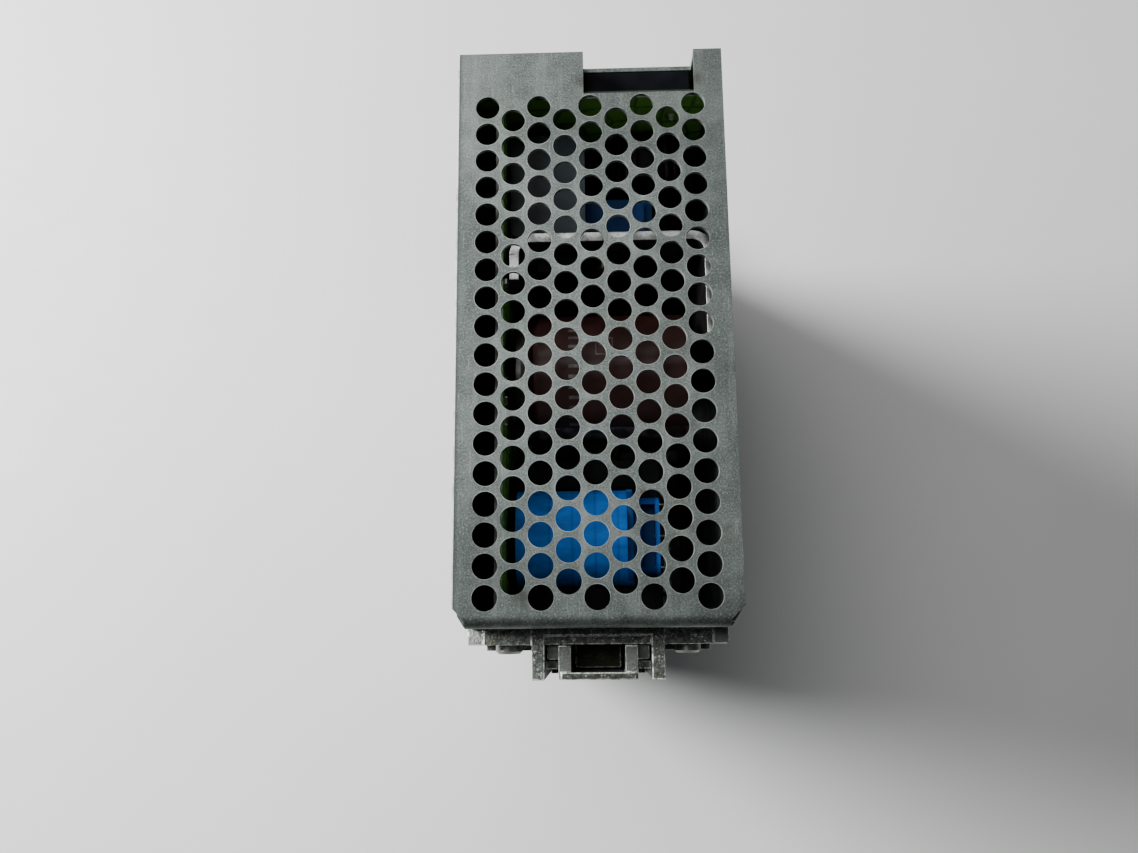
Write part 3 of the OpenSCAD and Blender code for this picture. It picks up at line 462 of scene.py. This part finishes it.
def grey_box():
    """Moulded case, painted darker towards the board as shade and slightly lighter at its outer end as painted
    light.
    """
    m = Maker("grey_moulding")
    cloud = m.ramp(m.noise(130, 3, 0.5), [(0.35, (0.030, 0.041, 0.050)), (0.68, (0.043, 0.058, 0.070))])
    low, high = box("suppression_capacitor")
    # painted shade towards the board, painted light at the outer end
    m.colour(m.mix(1.0, cloud, m.between(m.axis("X"), low.x + 6 * MM, high.x - 1.5 * MM, 0.30, 1.05), "MULTIPLY"))
    m.rough(m.between(m.noise(300, 2, 0.5), 0.3, 0.7, 0.40, 0.55))
    m.bump(m.noise(1400, 2, 0.5), 0.12, 0.00008)
    m.fixed(Specular_IOR_Level=0.2)
    return m.material


def bobbin_blue():
    """Dark blue moulding whose flange edges are painted a lighter blue as highlights."""
    m = Maker("bobbin_blue")
    low, high = box("transformer_bobbin")
    base = m.ramp(m.noise(130, 3, 0.5), [(0.35, (0.002, 0.034, 0.16)), (0.68, (0.003, 0.050, 0.23))])
    # painted highlights along the flange edges
    rear = m.between(m.axis("Y"), low.y + 0.7 * MM, low.y + 1.1 * MM, 1.0, 0.0)
    front = m.between(m.axis("Y"), high.y - 1.1 * MM, high.y - 0.7 * MM, 0.0, 1.0)
    right = m.between(m.axis("X"), high.x - 0.9 * MM, high.x - 0.5 * MM, 0.0, 1.0)
    edge = m.math("MAXIMUM", m.math("MAXIMUM", rear, front), right)
    m.colour(m.mix(m.math("MULTIPLY", edge, 0.85), base, (0.004, 0.125, 0.50)))
    m.rough(m.between(m.noise(300, 2, 0.5), 0.3, 0.7, 0.42, 0.55))
    m.bump(m.noise(1400, 2, 0.5), 0.12, 0.00008)
    m.fixed(Specular_IOR_Level=0.2)
    return m.material


def rolled_bracket():
    """Aluminium strip: its broad faces painted dark as shade, and the cut edges that look up and down painted
    bright, partly the bare metal of the cut and partly painted highlight.
    """
    m = Maker("rolled_bracket")
    lines = m.noise(500, 3, 0.6, m.stretched((1, 1, 0.08)))
    broad = m.ramp(lines, [(0.3, (0.055, 0.057, 0.056)), (0.7, (0.11, 0.112, 0.11))])
    sheared = m.ramp(m.noise(1500, 4, 0.7), [(0.32, (0.26, 0.27, 0.265)), (0.46, (0.46, 0.47, 0.46)),
                                             (0.70, (0.64, 0.65, 0.64))])
    # painted light by facing: faces looking up and down bright, all others painted dark as shade
    normal = m.node("ShaderNodeNewGeometry").outputs["Normal"]
    up = m.between(m.math("ABSOLUTE", m.axis("Z", normal)), 0.55, 0.80, 0.0, 1.0)
    m.colour(m.mix(up, broad, sheared))
    m.rough(m.between(lines, 0.3, 0.7, 0.34, 0.50))
    m.bump(lines, 0.15, 0.00004)
    m.fixed(Metallic=0.85)
    return m.material


def floor_material():
    m = Maker("pale_floor")
    m.colour(m.ramp(m.noise(6, 4), [(0.3, (0.78, 0.79, 0.78)), (0.7, (0.83, 0.84, 0.83))]))
    m.rough(m.between(m.noise(80, 2), 0.3, 0.7, 0.55, 0.65))
    return m.material


MATERIALS = {
    "galvanised_sheet": galvanised("galvanised_sheet"),
    "cast_metal": cast_metal("cast_metal"),
    "label_foil": label_foil(),
    "plated_screw": plain_metal("plated_screw", (0.30, 0.30, 0.275), 0.30, 0.48, scale=700),
    "spring_steel": plain_metal("spring_steel", (0.50, 0.50, 0.52), 0.22, 0.35),
    "insulating_film": moulded("insulating_film", (0.030, 0.031, 0.033), 0.5, specular=0.2),
    "circuit_board": circuit_board("circuit_board", "X"),
    "black_moulding": moulded("black_moulding", (0.0024, 0.0030, 0.0052), 0.45, specular=0.04),
    "tinned_contact": plain_metal("tinned_contact", (0.68, 0.64, 0.52), 0.25, 0.4),
    "blue_moulding": moulded("blue_moulding", (0.02, 0.09, 0.42), 0.35),
    "white_moulding": moulded("white_moulding", (0.74, 0.74, 0.68), 0.45, 0.06),
    "green_lens": moulded("green_lens", (0.05, 0.50, 0.10), 0.12, 0.1, coat=0.6),
    "capacitor_sleeve": capacitor_sleeve(),
    "capacitor_seal": moulded("capacitor_seal", (0.02, 0.02, 0.02), 0.6),
    "grey_moulding": grey_box(),
    "navy_moulding": moulded("navy_moulding", (0.003, 0.031, 0.128), 0.50, 0.25, specular=0.12),
    "ferrite": moulded("ferrite", (0.0032, 0.0034, 0.0040), 0.50, 0.4, 2200, specular=0.03),
    "copper_wire": copper_wire(),
    "fuse_tube": moulded("fuse_tube", (0.72, 0.70, 0.60), 0.2, 0.08, coat=0.5),
    "plain_aluminium": plain_metal("plain_aluminium", (0.78, 0.79, 0.78), 0.28, 0.42, (1, 1, 0.08), 500),
    "winding_tape": winding_tape(),
    "iron_powder": moulded("iron_powder", (0.50, 0.36, 0.06), 0.5, 0.2, 900),
    "can_sleeve": moulded("can_sleeve", (0.012, 0.022, 0.08), 0.25, 0.3, coat=0.3),
}
FLOOR = floor_material()
OWN_MATERIALS = {
    "input_end_plate": galvanised("perforated_sheet", 1.0, True),
    "front_board": circuit_board("front_circuit_board", "Y"),
    "control_board": circuit_board("control_circuit_board", "Z"),
    "transformer_bobbin": bobbin_blue(),
    "heat_sink_bracket": rolled_bracket(),
    # painted shade: the latch slider gets a darker copy, at 0.72 of the tone, of the cast finish
    "latch_slider": cast_metal("latch_casting_painted_shade", 0.72, True),
}
OWN_MATERIALS["output_end_plate"] = OWN_MATERIALS["input_end_plate"]
# bevel edge materials: bare patches of real wear, brightened further as painted highlight where edges catch light
WORN_EDGE_HIGHLIGHT = edge_wear_and_highlight("worn_edge_highlight", (0.20, 0.22, 0.21), (0.62, 0.65, 0.63))
CAST_EDGE_HIGHLIGHT = edge_wear_and_highlight("cast_edge_highlight", (0.12, 0.13, 0.12), (0.90, 0.92, 0.88))
DARK_ENAMEL = moulded("dark_enamel", (0.0055, 0.0040, 0.0032), 0.50, 0.5, specular=0.05)
SOLDER = plain_metal("solder", (0.52, 0.53, 0.52), 0.25, 0.4, scale=700)
CERAMIC = moulded("ceramic", (0.16, 0.115, 0.07), 0.5, 0.2)

for entry in frame["record"]["subparts"]:
    cad = NODES[entry["node"]]
    cad.data.materials.clear()
    cad.data.materials.append(OWN_MATERIALS.get(entry["node"]) or MATERIALS[entry["material_slot"]])


# ---------------------------------------------------------------- CAD nodes keep their shape and get fine edges

def bevelled(node, width, segments=2, angle=35, wear_and_highlight=None):
    cad = NODES[node]
    cad.modifiers.new("weld", "WELD").merge_threshold = 0.002 * MM
    made = cad.modifiers.new("edges", "BEVEL")
    if wear_and_highlight:
        cad.data.materials.append(wear_and_highlight)
        made.material = 1
    made.width = width
    made.segments = segments
    made.limit_method = "ANGLE"
    made.angle_limit = math.radians(angle)
    made.harden_normals = False
    for face in cad.data.polygons:
        face.use_smooth = True
    smooth = cad.modifiers.new("normals", "WEIGHTED_NORMAL")
    smooth.keep_sharp = True


for node, width, wear_and_highlight in (("main_shell", 0.08, WORN_EDGE_HIGHLIGHT), ("side_cover", 0.12, WORN_EDGE_HIGHLIGHT),
                          ("adapter_body", 0.24, CAST_EDGE_HIGHLIGHT), ("latch_slider", 0.24, CAST_EDGE_HIGHLIGHT)):
    bevelled(node, width * MM, wear_and_highlight=wear_and_highlight)
for node, width in (("front_panel", 0.12), ("output_plug", 0.25), ("input_header", 0.2), ("output_header", 0.2),
                    ("suppression_capacitor", 0.25), ("inrush_relay", 0.4), ("heat_sink_bracket", 0.18),
                    ("transformer_core", 0.4), ("transformer_bobbin", 0.3)):
    bevelled(node, width * MM)


# ---------------------------------------------------------------- extra detail

def new_piece(name, mesh, *materials):
    piece = bpy.data.objects.new(name, mesh)
    bpy.context.scene.collection.objects.link(piece)
    for material in materials:
        mesh.materials.append(material)
    for face in mesh.polygons:
        face.use_smooth = True
    return piece


def sweep(mesh, path, radius, sides=8, closed=False):
    """Adds a round tube along a path of points to a bmesh."""
    count = len(path)
    rings = []
    side_axis = None
    for i, point in enumerate(path):
        before = path[i - 1] if (closed or i) else point
        after = path[(i + 1) % count] if (closed or i < count - 1) else point
        ahead = (after - before).normalized()
        if side_axis is None:
            side_axis = ahead.orthogonal().normalized()
        side_axis = (side_axis - ahead * side_axis.dot(ahead)).normalized()
        other = ahead.cross(side_axis)
        rings.append([mesh.verts.new(point + (side_axis * math.cos(a) + other * math.sin(a)) * radius)
                      for a in (2 * math.pi * k / sides for k in range(sides))])
    for i in range(count if closed else count - 1):
        first, second = rings[i], rings[(i + 1) % count]
        for k in range(sides):
            n = (k + 1) % sides
            mesh.faces.new((first[k], first[n], second[n], second[k]))
    if not closed:
        mesh.faces.new(list(reversed(rings[0])))
        mesh.faces.new(rings[-1])


def rounded_loop(half_a, half_b, corner, steps=4):
    """Points of a rounded rectangle, as pairs."""
    points = []
    for quarter, (sx, sy) in enumerate(((1, 1), (-1, 1), (-1, -1), (1, -1))):
        for k in range(steps + 1):
            angle = math.radians(90 * (quarter + k / steps))
            points.append((sx * (half_a - corner) + corner * math.cos(angle),
                           sy * (half_b - corner) + corner * math.sin(angle)))
    return points


def finish_mesh(mesh, name):
    data = bpy.data.meshes.new(name)
    bmesh.ops.recalc_face_normals(mesh, faces=mesh.faces)
    mesh.to_mesh(data)
    mesh.free()
    return data


def toroid(name, node, core, axis, angles, wire, material):
    """Wire wound round a ring core: one rounded loop per turn, replacing the CAD's plain turns."""
    low, high = box(core)
    middle = (low + high) / 2
    spans = [high[k] - low[k] for k in range(3)]
    half_len = spans[axis] / 2
    outer = max(spans) / 2
    inner = outer * (9.6 / 19 if axis == 1 else 13 / 30)
    half_radial = (outer - inner) / 2 + wire
    mid = (outer + inner) / 2
    mesh = bmesh.new()
    for angle in angles:
        turn = math.radians(angle + random.uniform(-0.6, 0.6))
        lean = math.radians(random.uniform(-1.5, 1.5))
        path = []
        for a, b in rounded_loop(half_radial, half_len + wire, 1.6 * wire):
            radius = mid + a
            bent = turn + lean * b / half_len
            flat = (radius * math.cos(bent), radius * math.sin(bent))
            if axis == 1:
                path.append(middle + Vector((flat[0], b, -flat[1])))
            else:
                path.append(middle + Vector((b, flat[0], flat[1])))
        sweep(mesh, path, wire, 7, closed=True)
    piece = new_piece(name, finish_mesh(mesh, name), material)
    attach(piece, HOUSING)
    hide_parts(node)


def add_box(mesh, centre_at, size, slot=0, chamfer=0.0):
    made = bmesh.ops.create_cube(mesh, size=1.0, matrix=Matrix.Translation(centre_at) @ Matrix.Diagonal((*size, 1)))
    faces = {face for vert in made["verts"] for face in vert.link_faces}
    for face in faces:
        face.material_index = slot
    if chamfer:
        edges = {edge for face in faces for edge in face.edges}
        bmesh.ops.bevel(mesh, geom=list(edges), offset=chamfer, segments=2, affect="EDGES", profile=0.5)


def chip_part(mesh, place, across, along, thick, outward):
    """A small surface-mounted part with a tinned cap at each end, lying on a board whose normal is outward."""
    body = [0.0, 0.0, 0.0]
    cap = [0.0, 0.0, 0.0]
    normal = max(range(3), key=lambda k: abs(outward[k]))
    long_axis = along
    wide_axis = ({0, 1, 2} - {normal, long_axis}).pop()
    length, width = across
    body[normal], body[long_axis], body[wide_axis] = thick, length * 0.62, width
    cap[normal], cap[long_axis], cap[wide_axis] = thick * 1.06, length * 0.2, width * 1.04
    base = place + outward * (thick / 2)
    add_box(mesh, base, body, 0, 0.00005)
    for side in (-1, 1):
        offset = Vector((0, 0, 0))
        offset[long_axis] = side * length * 0.4
        add_box(mesh, base + offset, cap, 1, 0.00006)


def board_details():
    """Small parts with tinned ends on the main board's inner face and on the rear face of the front board."""
    mesh = bmesh.new()
    x = BOARD_HIGH.x
    out = Vector((1, 0, 0))
    rear = SHELL_LOW.y
    zones = ((38, 66, 84, 96), (36, 56, 60, 68), (84, 92, 44, 52), (70, 100, 30, 36), (8, 34, 60, 74), (100, 108, 96, 108),
             (36, 60, 118, 123), (70, 80, 116, 123))
    for low_y, high_y, low_z, high_z in zones:
        columns = max(1, int((high_y - low_y) / 4.2))
        rows = max(1, int((high_z - low_z) / 3.4))
        for i in range(columns):
            for j in range(rows):
                if random.random() < 0.25:
                    continue
                place = Vector((x, rear + (low_y + 2.1 + 4.2 * i) * MM, (low_z + 1.7 + 3.4 * j) * MM))
                chip_part(mesh, place, (2.0 * MM, 1.2 * MM), random.choice((1, 2)), 0.55 * MM, out)
    y = FRONT_LOW.y
    for column in range(11):
        for row in range(14):
            if random.random() < 0.45:
                continue
            place = Vector(((-19 + column * 3.9) * MM, y, (30 + row * 5.4) * MM))
            if place.x < BOARD_HIGH.x + 7 * MM and place.z < 84 * MM:
                continue
            if abs(place.x + 9.5 * MM) < 7 * MM and abs(place.z - 92 * MM) < 8 * MM:
                continue
            chip_part(mesh, place, (2.0 * MM, 1.25 * MM), random.choice((0, 2)), 0.6 * MM, Vector((0, -1, 0)))
    piece = new_piece("board_chip_parts", finish_mesh(mesh, "board_chip_parts"), CERAMIC, SOLDER)
    for face in piece.data.polygons:
        face.use_smooth = False
    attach(piece, HOUSING)


def dome(mesh, place, radius, height, outward, sides=10):
    """A cone-shaped solder joint with a hollow flank."""
    normal = outward.normalized()
    first = normal.orthogonal().normalized()
    second = normal.cross(first)
    rings = []
    for share, rise in ((1.0, 0.0), (0.72, 0.22), (0.48, 0.55), (0.30, 0.85)):
        rings.append([mesh.verts.new(place + (first * math.cos(a) + second * math.sin(a)) * radius * share
                                     + normal * height * rise)
                      for a in (2 * math.pi * k / sides for k in range(sides))])
    tip = mesh.verts.new(place + normal * height)
    for low, high in zip(rings, rings[1:]):
        for k in range(sides):
            n = (k + 1) % sides
            mesh.faces.new((low[k], low[n], high[n], high[k]))
    for k in range(sides):
        mesh.faces.new((rings[-1][k], rings[-1][(k + 1) % sides], tip))
    mesh.faces.new(list(reversed(rings[0])))


def solder_joints():
    """Joints of the headers, the pin strip and the through-hole parts."""
    mesh = bmesh.new()
    for node in ("input_pins", "output_pins"):
        low, high = box(node)
        count = 3 if node == "input_pins" else 4
        for i in range(count):
            x = low.x + 0.5 * MM + i * (high.x - low.x - 1.0 * MM) / (count - 1)
            dome(mesh, Vector((x, FRONT_LOW.y, (low.z + high.z) / 2)), 1.3 * MM, 1.5 * MM, Vector((0, -1, 0)))
    low, high = box("board_link")
    for i in range(15):
        z = low.z + (2.3 + i * 2.54) * MM
        dome(mesh, Vector((BOARD_LOW.x, low.y + 2.7 * MM, z)), 0.8 * MM, 1.0 * MM, Vector((-1, 0, 0)))
        dome(mesh, Vector((BOARD_HIGH.x + 2.3 * MM, FRONT_HIGH.y, z)), 0.8 * MM, 1.0 * MM, Vector((0, 1, 0)))
    for node, spread in (("bulk_capacitor", 5), ("transformer_bobbin", 8), ("output_choke_core", 8),
                         ("inrush_relay", 4), ("suppression_capacitor", 7), ("output_capacitors", 16)):
        middle = centre(node)
        for dy in (-1, 1):
            for dz in (-1, 1):
                place = Vector((BOARD_LOW.x, middle.y + dy * spread * MM, middle.z + dz * 2.6 * MM))
                dome(mesh, place, 0.95 * MM, 1.2 * MM, Vector((-1, 0, 0)))
    piece = new_piece("solder_joints", finish_mesh(mesh, "solder_joints"), SOLDER)
    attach(piece, HOUSING)


def bobbin_details():
    """The pins at the transformer's open end, each a short bent wire."""
    low, high = box("transformer_bobbin")
    mesh = bmesh.new()
    middle = (low + high) / 2
    for z_side in (-1, 1):
        for k in range(5):
            y = middle.y + (k - 2) * 3.3 * MM
            z = middle.z + z_side * (high.z - low.z) * 0.36
            path = [Vector((high.x - 1.0 * MM, y, z)), Vector((high.x + 0.4 * MM, y, z)),
                    Vector((high.x + 1.6 * MM, y, z - z_side * 0.2 * MM))]
            sweep(mesh, path, 0.32 * MM, 6)
    piece = new_piece("bobbin_pins", finish_mesh(mesh, "bobbin_pins"), SOLDER)
    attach(piece, HOUSING)


def spring_coil():
    """The latch spring with round wire, in place of the CAD spring."""
    low, high = box("latch_spring")
    middle = (low + high) / 2
    wire = 0.28 * MM
    radius = (high.x - low.x) / 2 - wire
    steps = 7 * 24
    path = []
    for i in range(steps + 1):
        angle = 2 * math.pi * i / 24
        z = low.z + wire + (high.z - low.z - 2 * wire) * i / steps
        path.append(Vector((middle.x + radius * math.cos(angle), middle.y + radius * math.sin(angle), z)))
    mesh = bmesh.new()
    sweep(mesh, path, wire, 8)
    piece = new_piece("latch_spring_coil", finish_mesh(mesh, "latch_spring_coil"), MATERIALS["spring_steel"])
    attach(piece, HOUSING)
    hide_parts("latch_spring")
    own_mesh(piece)


toroid("filter_choke_turns", "filter_choke_winding", "filter_choke_core", 1,
       [half + k * 11.5 for half in (0, 180) for k in range(-6, 7)], 0.55 * MM, DARK_ENAMEL)
toroid("output_choke_turns", "output_choke_winding", "output_choke_core", 0,
       [k * 14.5 for k in range(24)], 0.7 * MM, MATERIALS["copper_wire"])
board_details()
solder_joints()
bobbin_details()
spring_coil()


# ---------------------------------------------------------------- stage, light and camera

def add_floor():
    mesh = bpy.data.meshes.new("floor")
    half = 3.0
    mesh.from_pydata([(-half, -half, 0), (half, -half, 0), (half, half, 0), (-half, half, 0)], [], [(0, 1, 2, 3)])
    floor = bpy.data.objects.new("floor", mesh)
    bpy.context.scene.collection.objects.link(floor)
    floor.data.materials.append(FLOOR)


def add_area(name, place, target, size, power, colour):
    light = bpy.data.lights.new(name, "AREA")
    light.shape = "DISK"
    light.size = size
    light.energy = power
    light.color = colour
    lamp = bpy.data.objects.new(name, light)
    bpy.context.scene.collection.objects.link(lamp)
    lamp.location = place
    lamp.rotation_euler = (Vector(target) - Vector(place)).to_track_quat("-Z", "Y").to_euler()


def add_world(strength):
    world = bpy.data.worlds.new("studio")
    world.use_nodes = True
    background = world.node_tree.nodes["Background"]
    background.inputs["Color"].default_value = (0.92, 0.97, 1.0, 1)
    background.inputs["Strength"].default_value = strength
    bpy.context.scene.world = world


def add_camera():
    """The view from above and slightly behind, with the photograph's wide field of view."""
    place = Vector((0.0, -0.0596, 0.3147))
    forward = Vector((-0.0270, 0.1932, -0.9808)).normalized()
    across = Vector((0.9995, -0.0095, -0.0294))
    across = (across - forward * across.dot(forward)).normalized()
    up = across.cross(forward)
    data = bpy.data.cameras.new("camera")
    data.sensor_width = 36.0
    data.lens = 30.24
    camera = bpy.data.objects.new("camera", data)
    bpy.context.scene.collection.objects.link(camera)
    turn = Matrix((across, up, -forward)).transposed().to_4x4()
    camera.matrix_world = Matrix.Translation(place) @ turn
    bpy.context.scene.camera = camera


add_floor()
add_area("window", (-0.72, 0.26, 0.50), (0, 0, 0.05), 0.46, 21.5, (0.98, 1.0, 0.98))
add_area("ceiling", (-0.30, 0.40, 1.05), (0, 0, 0.1), 0.8, 5.0, (1.0, 1.0, 0.98))
add_world(0.075)
add_camera()
